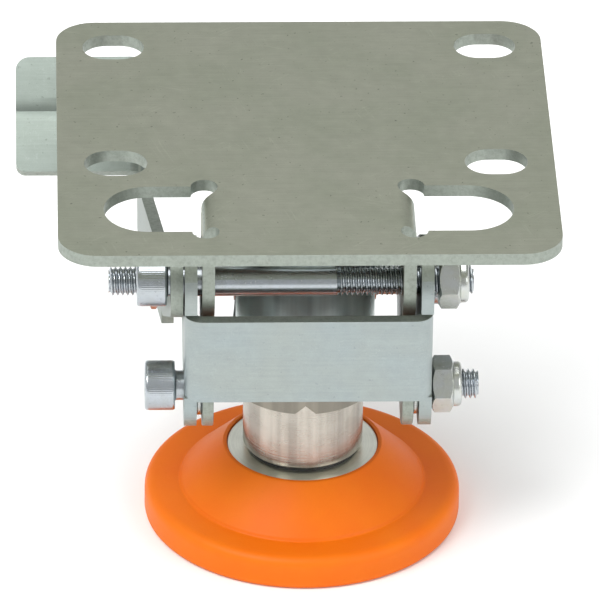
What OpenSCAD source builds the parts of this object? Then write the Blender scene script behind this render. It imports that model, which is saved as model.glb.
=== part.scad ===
// Foot-operated floor lock with a screw-on top plate, a pedal lever and a
// spring-loaded swivel foot.
// Frame: origin at the centre of the slot pattern on the plate's top face,
// +Z up, +X to the right, +Y from the front edge towards the pedal.

/* [Top plate] */
// Width of the plate, left to right
plate_w = 100; // [90:1:140]
// Depth of the plate, front to back
plate_d = 96; // [80:1:140]
// Thickness of the plate and its ears
plate_t = 2.5; // [2:0.5:5]
// Radius of the plate's corners
corner_r = 8; // [3:1:14]
// Spacing of the mounting slots, left to right
slot_pitch_x = 76.5; // [70:0.5:110]
// Spacing of the mounting slots, front to back
slot_pitch_y = 48.3; // [30:0.1:60]
// Length of a mounting slot, end to end
slot_len = 12.7; // [11:0.1:18]
// Width of a mounting slot
slot_w = 10.2; // [6.5:0.1:10.5]
// Front edge of the plate to the front row of slots
slot_inset = 37; // [34:0.5:60]

/* [Ears] */
// Distance over the outer faces of the two ears
ear_span = 42.6; // [40:0.2:50]
// Width of an ear and of the opening it is folded from
ear_w = 18; // [16:0.5:22]
// Front edge of the plate to the near side of the ears
ear_inset = 9.4; // [6:0.2:14]
// Depth of an ear's tip below the plate's top face
ear_drop = 23.4; // [20:0.2:30]
// Inside radius of the fold
fold_r = 1; // [0.5:0.5:2]
// Diameter of the round reliefs at the ends of the fold
relief_d = 5.4; // [3:0.2:7]

/* [Pins] */
// Diameter of the three screws
screw_d = 6; // [5:0.5:8]
// Diameter of a screw's head
head_d = 10; // [8.5:0.5:13]
// Height of a screw's head
head_h = 6; // [4:0.5:8]
// Width across the flats of the nuts
nut_af = 10; // [8:1:13]
// Overall height of a nut
nut_h = 6; // [5:0.5:8]
// Overall height of the low nut on the cross screw
low_nut_h = 3.8; // [3.4:0.1:5]
// Outside diameter of the sleeve on the cross screw
sleeve_d = 8; // [7:0.5:10]
// Front edge of the plate to the pivot screw
pivot_inset = 16.5; // [14:0.5:22]
// Depth of the pivot screw below the plate's top face
pivot_z = -15.5; // [-18:0.1:-12]
// Depth of the lower screw below the plate's top face
lower_z = -39.7; // [-46:0.1:-38]
// Depth of the cross screw below the plate's top face, lock released
cross_z = -26.5; // [-28:0.1:-25]

/* [Column] */
// Outside diameter of the guide tube
tube_d = 29.4; // [27:0.1:36]
// Wall of the guide tube
tube_wall = 1.45; // [1.2:0.05:2.5]
// Depth of the guide tube's lower rim
tube_bottom = -49.4; // [-60:0.2:-47]
// Diameter of the plunger below its shoulder
plunger_d = 24.5; // [22:0.1:26]
// Wall of the plunger
plunger_wall = 2; // [1.5:0.25:3]
// Depth of the plunger's lower face, lock released
plunger_bottom = -64.4; // [-80:0.2:-62]
// Thickness of the plunger's floor
plunger_floor = 4; // [3:0.5:6]
// Downward stroke of the carriage
stroke = 7; // [5:0.5:8]
// Upward travel of the plunger against its spring
spring_travel = 5; // [3:0.5:6]
// Diameter of the spring's wire
wire_d = 2.2; // [1.5:0.1:2.6]
// Number of turns of the spring
spring_turns = 6; // [4:1:7]

/* [Bracket] */
// Width over the outer faces of the bracket
bracket_w = 49.6; // [47:0.2:60]
// Thickness of the bracket
bracket_t = 2.5; // [2:0.5:3]
// Height of the bracket's front web
web_h = 18.5; // [12:0.5:20]
// Depth of the front web's top edge
web_top = -19.4; // [-24:0.2:-18]
// Outside radius of the bracket's bends
bend_r = 3.5; // [3:0.5:5]
// Radius of the bracket round the lower screw
lobe_r = 8.2; // [7.6:0.2:11]
// Thickness of an inner cheek
cheek_t = 2.3; // [1.5:0.1:3]
// Thickness of the washers between cheeks and bracket
cheek_washer_t = 1.1; // [0.6:0.1:1.5]

/* [Lever] */
// Thickness of the lever
lever_t = 2.5; // [2:0.5:3]
// Radius of the lever round its pivot
lever_r = 7.2; // [6.6:0.2:10]
// Sideways set of the lever's arm
arm_set = 5.4; // [3:0.2:8]
// Height of the lever's arm
arm_h = 14; // [10:0.5:16]
// Depth of the pedal's front edge below the plate's top face
pedal_z = -35; // [-40:0.5:-30]
// Front edge of the plate to the front edge of the pedal
pedal_inset = 95.3; // [90:0.1:110]
// Length of the pedal, front to back along its slope
pedal_l = 25.7; // [22:0.1:40]
// Slope of the pedal, lock released
pedal_tilt = 40; // [20:1:50]
// Width of the pedal, from the arm's outer face
pedal_w = 25.4; // [18:0.2:32]
// Depth of the groove across the pedal
groove_h = 1.1; // [0.5:0.1:2]

/* [Foot] */
// Diameter of the foot
foot_d = 64.6; // [50:0.2:90]
// Diameter of the foot's steel core
core_d = 31; // [27:0.5:36]
// Height of the steel core
core_h = 6; // [5:0.5:8]
// Height of the foot, from its floor face to the core's top
foot_h = 15.3; // [14:0.1:20]
// Thickness of the foot's rim
rim_h = 7; // [5:0.5:8]
// Diameter of the cone where it meets the rim
cone_d = 50.4; // [44:0.2:56]
// Diameter of the shoulder that the foot turns on
shoulder_d = 9; // [8:0.5:11]

/* [Clearances] */
// Running clearance on a radius, pin in hole
run_gap = 0.06; // [0.02:0.01:0.1]
// Sliding clearance on a radius, pin in slot
slot_gap = 0.3; // [0.2:0.05:0.4]
// Gap between plates that pass each other
plate_gap = 0.3; // [0.2:0.1:0.6]
// Gap between the pivot screw and the guide tube
tube_gap = 1.3; // [0.5:0.1:3]
// Gap between the bracket's web and the front of the ears
web_gap = 0.2; // [0.1:0.1:0.6]
// Fitting clearance between fixed pieces
fit_gap = 0.03; // [0.01:0.01:0.05]

/* [Hidden] */

$fn = 64;
eps = 0.01;
cut_over = 1;

// Places, measured from the plate's front edge
front_y = -(slot_inset + slot_pitch_y / 2);
pivot_y = front_y + pivot_inset;
column_y = pivot_y + screw_d / 2 + tube_gap + tube_d / 2;
lower_y = pivot_y;
ear_y = front_y + ear_inset;
web_y = ear_y - web_gap - bracket_t;
web_bottom = web_top - web_h;
pedal_y = front_y + pedal_inset;

// Half widths, from the middle outwards
ear_out = ear_span / 2;
ear_in = ear_out - plate_t;
fold_x = ear_in - fold_r;
bracket_out = bracket_w / 2;
bracket_in = bracket_out - bracket_t;
cheek_out = bracket_in - cheek_washer_t;
cheek_in = cheek_out - cheek_t;
lever_in = bracket_out + plate_gap;
lever_out = lever_in + lever_t;
// An ear is cut out flat, so its opening is as long as the ear and its fold
neutral = 0.4;
fold_len = PI / 2 * (fold_r + neutral * plate_t);
opening_out = fold_x + fold_len + ear_drop - plate_t - fold_r;

// Geometry of the lever slot: the cross sleeve runs straight down on the
// column's axis while the lever turns about the pivot screw
reach = column_y - pivot_y;
drop = pivot_z - cross_z;
start_angle = atan2(drop, reach);
end_angle = atan2(drop + stroke, reach);
slot_end = norm([reach, drop + stroke]);
slot_far = slot_end * cos(start_angle);
slot_end_point = [pivot_y + slot_far, pivot_z - slot_end * sin(start_angle)];
lever_slack = 0.35;

// Column
screw_r = screw_d / 2;
sleeve_r = sleeve_d / 2;
tube_r = tube_d / 2;
bore_r = tube_r - tube_wall;
shoulder_r = bore_r - run_gap;
plunger_r = plunger_d / 2;
plunger_in = plunger_r - plunger_wall;
plunger_cap = 4;
plunger_top = cross_z + sleeve_r + plunger_cap;
shoulder_h = 19.5;
slot_end_gap = 0.2;
seat_top = cross_z - sleeve_r;
seat_h = 3;
spring_top = seat_top - seat_h;
spring_bottom = plunger_bottom + plunger_floor;
coil_gap = 0.5;
coil_r = plunger_in - coil_gap - wire_d / 2;
slip_h = 0.5;
slip_gap = 0.05;
core_top = plunger_bottom - slip_h - slip_gap;
foot_bottom = core_top - foot_h;
core_play = 0.2;
stud_d = 8;

// Screws: underside of each head and length of each shank
play = 0.4;
pivot_nut_play = 1.2;
lower_head_play = 1.8;
cross_head_play = 1;
pivot_head_x = -(lever_out + plate_gap + play);
pivot_nut_x = bracket_out + pivot_nut_play;
lower_head_x = -(bracket_out + lower_head_play);
lower_nut_x = bracket_out + plate_gap;
cross_head_x = bracket_out + cross_head_play;
pivot_over = 1;
lower_over = 3.4;
cross_over = 6.3;
insert_t = 0.8;
insert_h = 1.6;
insert_depth = 0.3;

// Lever
arm_start = pivot_y + 6;
arm_end = pedal_y - 2;
back_y = pedal_y + 2 * pedal_l;
fold_lever = 1.5;
// The arm's outline ends inside the lap of the pedal's bend
fold_lap = 2;
lap_in = 0.5;
lap_low = 1.2;
lap_step = 0.02;
arm_out = lever_out + arm_set;

// The cross nut clears the leaning arm with the pedal right down
nut_far = slot_far + nut_af / 2 / cos(30);
arm_lean = arm_set * (pivot_y + nut_far - arm_start) / (arm_end - arm_start);
cross_nut_x = -(lever_out + arm_lean + plate_gap);

zinc = [0.74, 0.77, 0.75];
bright_zinc = [0.70, 0.74, 0.79];

// A flat plate lying in the YZ plane, from x = a to x = b
module side_plate(a, b) {
    translate([a, 0, 0])
        rotate([90, 0, 90])
            linear_extrude(b - a)
                children();
}

// A round bar along X, from x = a to x = b, through the point y, z
module bar_x(a, b, y, z, r) {
    translate([a, y, z])
        rotate([0, 90, 0])
            cylinder(r = r, h = b - a);
}

// A straight slot cut along X, with round ends at the points p and q
module slot_x(a, b, p, q, r) {
    angle = atan2(q[1] - p[1], q[0] - p[0]);
    bar_x(a, b, p[0], p[1], r);
    bar_x(a, b, q[0], q[1], r);
    translate([a, p[0], p[1]])
        rotate([angle, 0, 0])
            translate([0, 0, -r])
                cube([b - a, norm(q - p), 2 * r]);
}

// Outline through two round ends
module link(p, rp, q, rq) {
    hull() {
        translate(p) circle(rp);
        translate(q) circle(rq);
    }
}

// ---- Top plate -------------------------------------------------------

module plate_outline() {
    low_x = plate_w / 2 - corner_r;
    low_y = front_y + corner_r;
    high_y = front_y + plate_d - corner_r;
    translate([-plate_w / 2, low_y]) square([plate_w, high_y - low_y]);
    translate([-low_x, front_y]) square([2 * low_x, plate_d]);
    for (x = [-low_x, low_x], y = [low_y, high_y])
        translate([x, y]) circle(corner_r);
}

module mounting_slot() {
    run = slot_len - slot_w;
    translate([-run / 2, -slot_w / 2, -plate_t - cut_over])
        cube([run, slot_w, plate_t + 2 * cut_over]);
    for (x = [-run / 2, run / 2])
        translate([x, 0, -plate_t - cut_over])
            cylinder(d = slot_w, h = plate_t + 2 * cut_over);
}

// Opening left in the plate where an ear is folded down
module ear_opening() {
    tip_x = opening_out - ear_w / 2;
    translate([fold_x, ear_y, -plate_t - cut_over])
        cube([tip_x - fold_x, ear_w, plate_t + 2 * cut_over]);
    translate([tip_x, ear_y + ear_w / 2, -plate_t - cut_over])
        cylinder(d = ear_w, h = plate_t + 2 * cut_over);
}

module ear() {
    tip_z = -ear_drop + ear_w / 2;
    fold_z = -plate_t - fold_r;
    difference() {
        union() {
            translate([ear_in, ear_y, tip_z])
                cube([plate_t, ear_w, fold_z - tip_z + eps]);
            bar_x(ear_in, ear_out, ear_y + ear_w / 2, tip_z, ear_w / 2);
            intersection() {
                translate([fold_x, ear_y, fold_z])
                    rotate([-90, 0, 0])
                        difference() {
                            cylinder(r = fold_r + plate_t, h = ear_w);
                            translate([0, 0, -cut_over])
                                cylinder(r = fold_r, h = ear_w + 2 * cut_over);
                        }
                translate([fold_x - eps, ear_y, fold_z])
                    cube([plate_t + fold_r + 2 * eps, ear_w, plate_t + fold_r + eps]);
            }
        }
        bar_x(ear_in - cut_over, ear_out + cut_over, pivot_y, pivot_z, screw_r + fit_gap);
    }
}

module top_plate() {
    relief_share = 0.75;
    relief_x = ear_in + relief_share * plate_t;
    relief_h = 2 * plate_t + fold_r;
    color([0.60, 0.61, 0.55])
    difference() {
        union() {
            difference() {
                translate([0, 0, -plate_t]) linear_extrude(plate_t) plate_outline();
                for (side = [0, 1])
                    mirror([side, 0, 0]) ear_opening();
            }
            for (side = [0, 1])
                mirror([side, 0, 0]) ear();
        }
        for (x = [-1, 1], y = [-1, 1])
            translate([x * slot_pitch_x / 2, y * slot_pitch_y / 2, 0]) mounting_slot();
        for (x = [-relief_x, relief_x], y = [ear_y, ear_y + ear_w])
            translate([x, y, -relief_h])
                cylinder(d = relief_d, h = relief_h + cut_over);
    }
}

// ---- Column ----------------------------------------------------------

module guide_tube() {
    weld = 1.8;
    slot_top = cross_z + slot_end_gap;
    slot_low = cross_z - stroke - slot_end_gap;
    notch_w = 4.2;
    notch_h = 1.9;
    top = -plate_t;
    color([0.42, 0.44, 0.44])
    difference() {
        translate([0, column_y, 0])
            rotate_extrude()
                polygon([[bore_r, top], [tube_r + weld, top], [tube_r, top - weld],
                         [tube_r, tube_bottom], [bore_r, tube_bottom]]);
        slot_x(-tube_d, tube_d, [column_y, slot_top], [column_y, slot_low], sleeve_r + slot_gap);
        for (turn = [0, 120, 240])
            translate([0, column_y, tube_bottom])
                rotate([0, 0, turn])
                    rotate([90, 0, 0])
                        linear_extrude(tube_d)
                            polygon([[-notch_w / 2, -eps], [notch_w / 2, -eps], [0, notch_h]]);
    }
}

module plunger() {
    shoulder_z = plunger_top - shoulder_h;
    slot_low = cross_z - spring_travel - slot_end_gap;
    stud_hole_r = stud_d / 2 + fit_gap;
    edge = 0.8;
    color([0.66, 0.66, 0.65])
    difference() {
        translate([0, column_y, 0])
            rotate_extrude()
                polygon([[plunger_in, plunger_top], [shoulder_r - edge, plunger_top],
                         [shoulder_r, plunger_top - edge], [shoulder_r, shoulder_z],
                         [plunger_r, shoulder_z - (shoulder_r - plunger_r)],
                         [plunger_r, plunger_bottom + edge], [plunger_r - edge, plunger_bottom],
                         [stud_hole_r, plunger_bottom],
                         [stud_hole_r, plunger_bottom + plunger_floor],
                         [plunger_in, plunger_bottom + plunger_floor]]);
        slot_x(-plunger_d, plunger_d, [column_y, cross_z], [column_y, slot_low],
               sleeve_r + slot_gap);
    }
}

module spring_seat() {
    rim_r = plunger_in - slot_gap;
    boss_r = coil_r - wire_d / 2 - slot_gap;
    boss_h = 2;
    taper = 0.4;
    color([0.55, 0.57, 0.58])
    translate([0, column_y, 0])
        rotate_extrude()
            polygon([[0, seat_top], [rim_r, seat_top], [rim_r, spring_top], [boss_r, spring_top],
                     [boss_r - taper, spring_top - boss_h], [0, spring_top - boss_h]]);
}

// Points of one ring of the spring's wire, at step i of n
function coil_angle(i, n) = 360 * spring_turns * i / n;
function coil_z(i, n) = spring_bottom + wire_d / 2
    + (spring_top - spring_bottom - wire_d) * i / n;
function wire_ring(i, n, sides) = [for (s = [0:sides - 1])
    let (a = coil_angle(i, n), t = 360 * s / sides, r = coil_r + wire_d / 2 * cos(t))
    [r * cos(a), column_y + r * sin(a), coil_z(i, n) + wire_d / 2 * sin(t)]];

module plunger_spring() {
    sides = 10;
    steps = 20 * spring_turns;
    points = [for (i = [0:steps]) each wire_ring(i, steps, sides)];
    walls = [for (i = [0:steps - 1], s = [0:sides - 1])
        let (a = i * sides, b = (i + 1) * sides, t = (s + 1) % sides)
        [a + s, b + s, b + t, a + t]];
    start_cap = [[for (s = [0:sides - 1]) s]];
    end_cap = [[for (s = [sides - 1:-1:0]) steps * sides + s]];
    color([0.35, 0.36, 0.38])
    polyhedron(points, concat(walls, start_cap, end_cap));
}

// ---- Screws, nuts and washers ----------------------------------------

// Socket head screw: underside of the head at z = 0, shank upwards
module cap_screw(length) {
    socket_af = 5;
    socket_depth = 3;
    tip = 0.8;
    edge = 0.5;
    difference() {
        union() {
            translate([0, 0, -head_h])
                cylinder(r1 = head_d / 2 - edge, r2 = head_d / 2, h = edge);
            translate([0, 0, edge - head_h]) cylinder(d = head_d, h = head_h - edge);
            cylinder(r = screw_r, h = length - tip);
            translate([0, 0, length - tip]) cylinder(r1 = screw_r, r2 = screw_r - tip, h = tip);
        }
        translate([0, 0, -head_h - eps])
            cylinder(d = socket_af / cos(30), h = socket_depth, $fn = 6);
    }
}

// Locking nut: seat at z = 0, round collar at the top
module lock_nut(height) {
    collar_h = 1.8;
    collar_r = nut_af / 2 - 0.4;
    chamfer = 4;
    edge = 0.5;
    difference() {
        union() {
            intersection() {
                cylinder(d = nut_af / cos(30), h = height - collar_h, $fn = 6);
                cylinder(r1 = nut_af / 2, r2 = nut_af / 2 + chamfer, h = chamfer);
                translate([0, 0, height - collar_h - chamfer])
                    cylinder(r1 = nut_af / 2 + chamfer, r2 = nut_af / 2, h = chamfer);
            }
            cylinder(r = collar_r, h = height - edge);
            translate([0, 0, height - edge]) cylinder(r1 = collar_r, r2 = collar_r - edge, h = edge);
        }
        translate([0, 0, -cut_over]) cylinder(r = screw_r + fit_gap, h = height + 2 * cut_over);
        translate([0, 0, height - insert_h - insert_depth])
            cylinder(r = screw_r + insert_t, h = insert_h);
    }
}

// Plastic ring inside a locking nut
module nut_insert(height) {
    translate([0, 0, height - insert_h - insert_depth])
        difference() {
            cylinder(r = screw_r + insert_t, h = insert_h);
            translate([0, 0, -cut_over]) cylinder(r = screw_r + fit_gap, h = insert_h + 2 * cut_over);
        }
}

// Stands a screw or nut on a point, pointing to the right or to the left
module along_x(x, y, z, turn = 1) {
    translate([x, y, z]) rotate([0, 90 * turn, 0]) children();
}

module pivot_screw() {
    length = pivot_nut_x + nut_h + pivot_over - pivot_head_x;
    color(bright_zinc) along_x(pivot_head_x, pivot_y, pivot_z) cap_screw(length);
}

module pivot_nut() {
    color(zinc) along_x(pivot_nut_x, pivot_y, pivot_z) lock_nut(nut_h);
}

module pivot_nut_insert() {
    color("white") along_x(pivot_nut_x, pivot_y, pivot_z) nut_insert(nut_h);
}

module lower_screw() {
    length = lower_nut_x + nut_h + lower_over - lower_head_x;
    color(bright_zinc) along_x(lower_head_x, lower_y, lower_z) cap_screw(length);
}

module lower_nut() {
    color(zinc) along_x(lower_nut_x, lower_y, lower_z) lock_nut(nut_h);
}

module lower_nut_insert() {
    color("white") along_x(lower_nut_x, lower_y, lower_z) nut_insert(nut_h);
}

module cross_screw() {
    length = cross_head_x + low_nut_h + cross_over - cross_nut_x;
    color(bright_zinc) along_x(cross_head_x, column_y, cross_z, -1) cap_screw(length);
}

module cross_nut() {
    color(zinc) along_x(cross_nut_x, column_y, cross_z, -1) lock_nut(low_nut_h);
}

module cross_nut_insert() {
    color("white") along_x(cross_nut_x, column_y, cross_z, -1) nut_insert(low_nut_h);
}

module cross_sleeve() {
    sleeve_half = tube_r - slot_gap;
    color([0.62, 0.60, 0.55])
    difference() {
        bar_x(-sleeve_half, sleeve_half, column_y, cross_z, sleeve_r);
        bar_x(-tube_d, tube_d, column_y, cross_z, screw_r + fit_gap);
    }
}

module cheek_washers() {
    color(zinc)
    for (side = [0, 1])
        mirror([side, 0, 0])
            difference() {
                bar_x(cheek_out, bracket_in, lower_y, lower_z, screw_d);
                bar_x(cheek_out - cut_over, bracket_in + cut_over, lower_y, lower_z,
                      screw_r + fit_gap);
            }
}

// ---- Carriage --------------------------------------------------------

// Side outline of the bracket, y then z
module flange_outline() {
    fork_r = 9.2;
    hull() {
        translate([lower_y, lower_z]) circle(lobe_r);
        translate([column_y, cross_z]) circle(lobe_r);
        translate([pivot_y, pivot_z]) circle(fork_r);
    }
}

// Plan outline of the front web with its two bends
module web_outline() {
    middle = bracket_out - bend_r;
    translate([-middle, web_y]) square([2 * middle, bracket_t]);
    for (side = [-1, 1])
        translate([side * middle, web_y + bend_r])
            intersection() {
                difference() {
                    circle(bend_r);
                    circle(bend_r - bracket_t);
                }
                translate([side > 0 ? 0 : -bend_r, -bend_r]) square(bend_r + eps);
            }
}

module u_bracket() {
    corner_relief = 1.2;
    slot_r = screw_r + slot_end_gap;
    slot_high = pivot_z + stroke + slot_end_gap;
    color([0.73, 0.77, 0.76])
    difference() {
        union() {
            difference() {
                for (side = [0, 1])
                    mirror([side, 0, 0]) side_plate(bracket_in, bracket_out) flange_outline();
                translate([-bracket_w, web_y - bend_r, web_bottom])
                    cube([2 * bracket_w, 2 * bend_r, web_h + corner_relief]);
            }
            translate([0, 0, web_bottom]) linear_extrude(web_h) web_outline();
        }
        slot_x(-bracket_w, bracket_w, [pivot_y, pivot_z - slot_end_gap], [pivot_y, slot_high],
               slot_r);
        bar_x(-bracket_w, bracket_w, column_y, cross_z, screw_r + fit_gap);
        bar_x(-bracket_w, bracket_w, lower_y, lower_z, screw_r + fit_gap);
    }
}

module cheek() {
    cross_lobe_r = lobe_r - 0.8;
    color([0.72, 0.75, 0.73])
    difference() {
        side_plate(cheek_in, cheek_out)
            link([lower_y, lower_z], lobe_r, [column_y, cross_z], cross_lobe_r);
        translate([0, web_y - lobe_r, web_bottom - plate_gap])
            cube([bracket_w, lobe_r + bracket_t + plate_gap, web_h]);
        bar_x(0, bracket_w, column_y, cross_z, screw_r + fit_gap);
        bar_x(0, bracket_w, lower_y, lower_z, screw_r + fit_gap);
    }
}

module left_cheek() {
    mirror([1, 0, 0]) cheek();
}

module right_cheek() {
    cheek();
}

// ---- Foot ------------------------------------------------------------

module foot_screw() {
    head_r = 8;
    head_t = 3;
    key_af = 6;
    stud_over = 2;
    shoulder_bottom = core_top - core_h - core_play;
    color([0.60, 0.63, 0.66])
    translate([0, column_y, 0])
        difference() {
            union() {
                translate([0, 0, plunger_bottom - eps])
                    cylinder(d = stud_d, h = plunger_floor + stud_over);
                translate([0, 0, shoulder_bottom])
                    cylinder(d = shoulder_d, h = plunger_bottom - shoulder_bottom);
                translate([0, 0, shoulder_bottom - head_t]) cylinder(r = head_r, h = head_t);
            }
            translate([0, 0, shoulder_bottom - head_t - eps])
                cylinder(d = key_af / cos(30), h = head_t, $fn = 6);
        }
}

module slip_washer() {
    edge = 0.9;
    color([0.08, 0.08, 0.08])
    translate([0, column_y, core_top])
        difference() {
            cylinder(r = plunger_r - edge, h = slip_h);
            translate([0, 0, -cut_over])
                cylinder(r = shoulder_d / 2 + run_gap, h = slip_h + 2 * cut_over);
        }
}

module foot_core() {
    color([0.55, 0.55, 0.52])
    translate([0, column_y, core_top - core_h])
        difference() {
            cylinder(d = core_d, h = core_h);
            translate([0, 0, -cut_over])
                cylinder(r = shoulder_d / 2 + run_gap, h = core_h + 2 * cut_over);
        }
}

module foot_pad() {
    foot_r = foot_d / 2;
    core_r = core_d / 2;
    lip = 0.4;
    rim_z = foot_bottom + rim_h;
    pocket_r = 9.5;
    lip_w = 0.7;
    cone_round = 0.6;
    rim_round = 1.6;
    edge = 1;
    color([0.98, 0.49, 0.13])
    translate([0, column_y, 0])
        rotate_extrude()
            polygon([[core_r, core_top + lip], [core_r + lip_w, core_top + lip],
                     [cone_d / 2 - cone_round, rim_z + cone_round / 3],
                     [cone_d / 2, rim_z - cone_round / 6],
                     [foot_r - rim_round, rim_z], [foot_r - edge / 2, rim_z - edge / 2],
                     [foot_r, rim_z - rim_round], [foot_r, foot_bottom + edge],
                     [foot_r - edge, foot_bottom], [pocket_r, foot_bottom],
                     [pocket_r, core_top - core_h], [core_r, core_top - core_h]]);
}

// ---- Lever -----------------------------------------------------------

// Plan outline of the lever's sheet: flat at the pivot, then set outwards
module lever_strip() {
    polygon([[-lever_in, pivot_y - 2 * lever_r], [-lever_out, pivot_y - 2 * lever_r],
             [-lever_out, arm_start], [-arm_out, arm_end], [-arm_out, back_y],
             [-arm_out + lever_t, back_y], [-arm_out + lever_t, arm_end],
             [-lever_in, arm_start]]);
}

// A point of the pedal's sloping frame, y then z
function pedal_point(y, z) = [pedal_y + y * cos(pedal_tilt) - z * sin(pedal_tilt),
                              pedal_z + y * sin(pedal_tilt) + z * cos(pedal_tilt)];

// Side outline of the lever, y then z
module lever_outline() {
    arm_run = 4;
    arm_fall = 12.4;
    arm_front = column_y + arm_run;
    arm_low = cross_z - arm_fall;
    back_h = 9;
    heel = 6;
    under = -fold_lever - lever_t - lap_low;
    rear = pedal_l - lap_in;
    link([pivot_y, pivot_z], lever_r, [column_y, cross_z], lever_r);
    link([column_y, cross_z], lever_r, slot_end_point, lever_r);
    polygon([[arm_front, arm_low + arm_h], pedal_point(lap_in, under), pedal_point(rear, under),
             pedal_point(rear, -back_h), [pedal_y + heel, pedal_z - arm_h - lever_t],
             [arm_front, arm_low]]);
}

// Stands the pedal on its slope: y = 0 is its front edge, z = 0 its top face
module pedal_slope() {
    translate([0, pedal_y, pedal_z]) rotate([pedal_tilt, 0, 0]) children();
}

// Side outline of the pedal's sheet, with the groove across it
module pedal_outline() {
    groove_share = 0.54;
    groove_y = groove_share * pedal_l;
    groove_w = 2.6;
    polygon([[0, 0], [groove_y - groove_w, 0], [groove_y, -groove_h], [groove_y + groove_w, 0],
             [pedal_l, 0], [pedal_l, -lever_t], [groove_y + groove_w, -lever_t],
             [groove_y, -lever_t - groove_h], [groove_y - groove_w, -lever_t], [0, -lever_t]]);
}

// Plan outline of the pedal, with a large rear corner and a small front one
module pedal_plan() {
    left_x = -arm_out - pedal_w;
    right_x = -arm_out - fold_lever;
    rear_r = 3;
    front_r = 2;
    translate([left_x, front_r]) square([right_x - left_x, pedal_l - rear_r - front_r]);
    translate([left_x + front_r, 0]) square([right_x - left_x - front_r, front_r + eps]);
    translate([left_x + rear_r, pedal_l - rear_r - eps])
        square([right_x - left_x - rear_r, rear_r + eps]);
    translate([left_x + front_r, front_r]) circle(front_r);
    translate([left_x + rear_r, pedal_l - rear_r]) circle(rear_r);
}

// Bend between the arm and the pedal, with a lap into the middle of each sheet
module pedal_fold() {
    outer = fold_lever + lever_t;
    inside_r = fold_lever + lap_step;
    sheet = lever_t - 2 * lap_step;
    translate([-arm_out - fold_lever, 0, -outer])
        rotate([-90, 0, 0])
            linear_extrude(pedal_l) {
                intersection() {
                    difference() {
                        circle(outer - lap_step);
                        circle(inside_r);
                    }
                    translate([0, -outer]) square(outer);
                }
                translate([-fold_lap, lap_step - outer]) square([fold_lap, sheet]);
                translate([inside_r, 0]) square([sheet, fold_lap]);
            }
}

module pedal_lever() {
    sheet_h = 8;
    strip_low = pedal_z - 3 * arm_h;
    near = [column_y, cross_z];
    color([0.75, 0.78, 0.75])
    difference() {
        union() {
            intersection() {
                translate([0, 0, strip_low]) linear_extrude(-strip_low) lever_strip();
                side_plate(-2 * plate_w, 0) lever_outline();
            }
            pedal_slope() {
                intersection() {
                    side_plate(-2 * plate_w, 0) pedal_outline();
                    translate([0, 0, -sheet_h]) linear_extrude(2 * sheet_h) pedal_plan();
                }
                pedal_fold();
            }
        }
        bar_x(-2 * bracket_w, 0, pivot_y, pivot_z, screw_r + run_gap);
        slot_x(-2 * bracket_w, 0, near, slot_end_point, screw_r + lever_slack);
    }
}

top_plate();
guide_tube();
pivot_screw();
pivot_nut();
pivot_nut_insert();
u_bracket();
left_cheek();
right_cheek();
cheek_washers();
lower_screw();
lower_nut();
lower_nut_insert();
cross_sleeve();
cross_screw();
cross_nut();
cross_nut_insert();
spring_seat();
plunger_spring();
plunger();
foot_screw();
slip_washer();
foot_core();
foot_pad();
pedal_lever();
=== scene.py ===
"""Looks of a foot-operated floor lock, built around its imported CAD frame.

Each sub-assembly is a class with its sizes as fields. A turned piece is lathed
ring by ring, a sheet piece is the CAD solid with its edges broken, and every
finish is built from nodes. All lengths are metres in the CAD frame.
"""

import logging
import math
from dataclasses import dataclass, field
from enum import Enum
from typing import Callable, Iterable, Sequence

import bmesh
import bpy
from mathutils import Matrix, Vector


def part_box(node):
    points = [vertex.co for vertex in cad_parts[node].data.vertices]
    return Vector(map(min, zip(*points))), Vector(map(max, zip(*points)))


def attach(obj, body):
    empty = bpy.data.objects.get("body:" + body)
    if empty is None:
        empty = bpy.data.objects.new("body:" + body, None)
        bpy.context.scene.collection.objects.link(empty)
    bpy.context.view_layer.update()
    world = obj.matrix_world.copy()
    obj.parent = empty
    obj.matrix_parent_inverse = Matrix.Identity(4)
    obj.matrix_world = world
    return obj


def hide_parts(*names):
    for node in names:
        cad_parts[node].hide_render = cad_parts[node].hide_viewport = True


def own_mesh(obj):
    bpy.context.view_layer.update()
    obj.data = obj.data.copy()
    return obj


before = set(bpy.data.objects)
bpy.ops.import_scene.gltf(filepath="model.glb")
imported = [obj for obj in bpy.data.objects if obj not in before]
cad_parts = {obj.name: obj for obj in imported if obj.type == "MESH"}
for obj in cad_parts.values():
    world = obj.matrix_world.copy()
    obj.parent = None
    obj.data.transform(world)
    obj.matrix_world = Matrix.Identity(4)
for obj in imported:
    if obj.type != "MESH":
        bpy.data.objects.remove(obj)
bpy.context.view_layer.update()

log = logging.getLogger("floor_lock")

MM = 0.001
TAU = 2.0 * math.pi
WELD = 1e-7

# A face looks along a direction if its normal's part along it is over this
FACING = 0.5

Triple = tuple[float, float, float]
Colour = Triple
Point = tuple[float, float]
EdgeRule = Callable[[Vector, Vector], bool]


# ---- Shader maths ------------------------------------------------------


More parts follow.
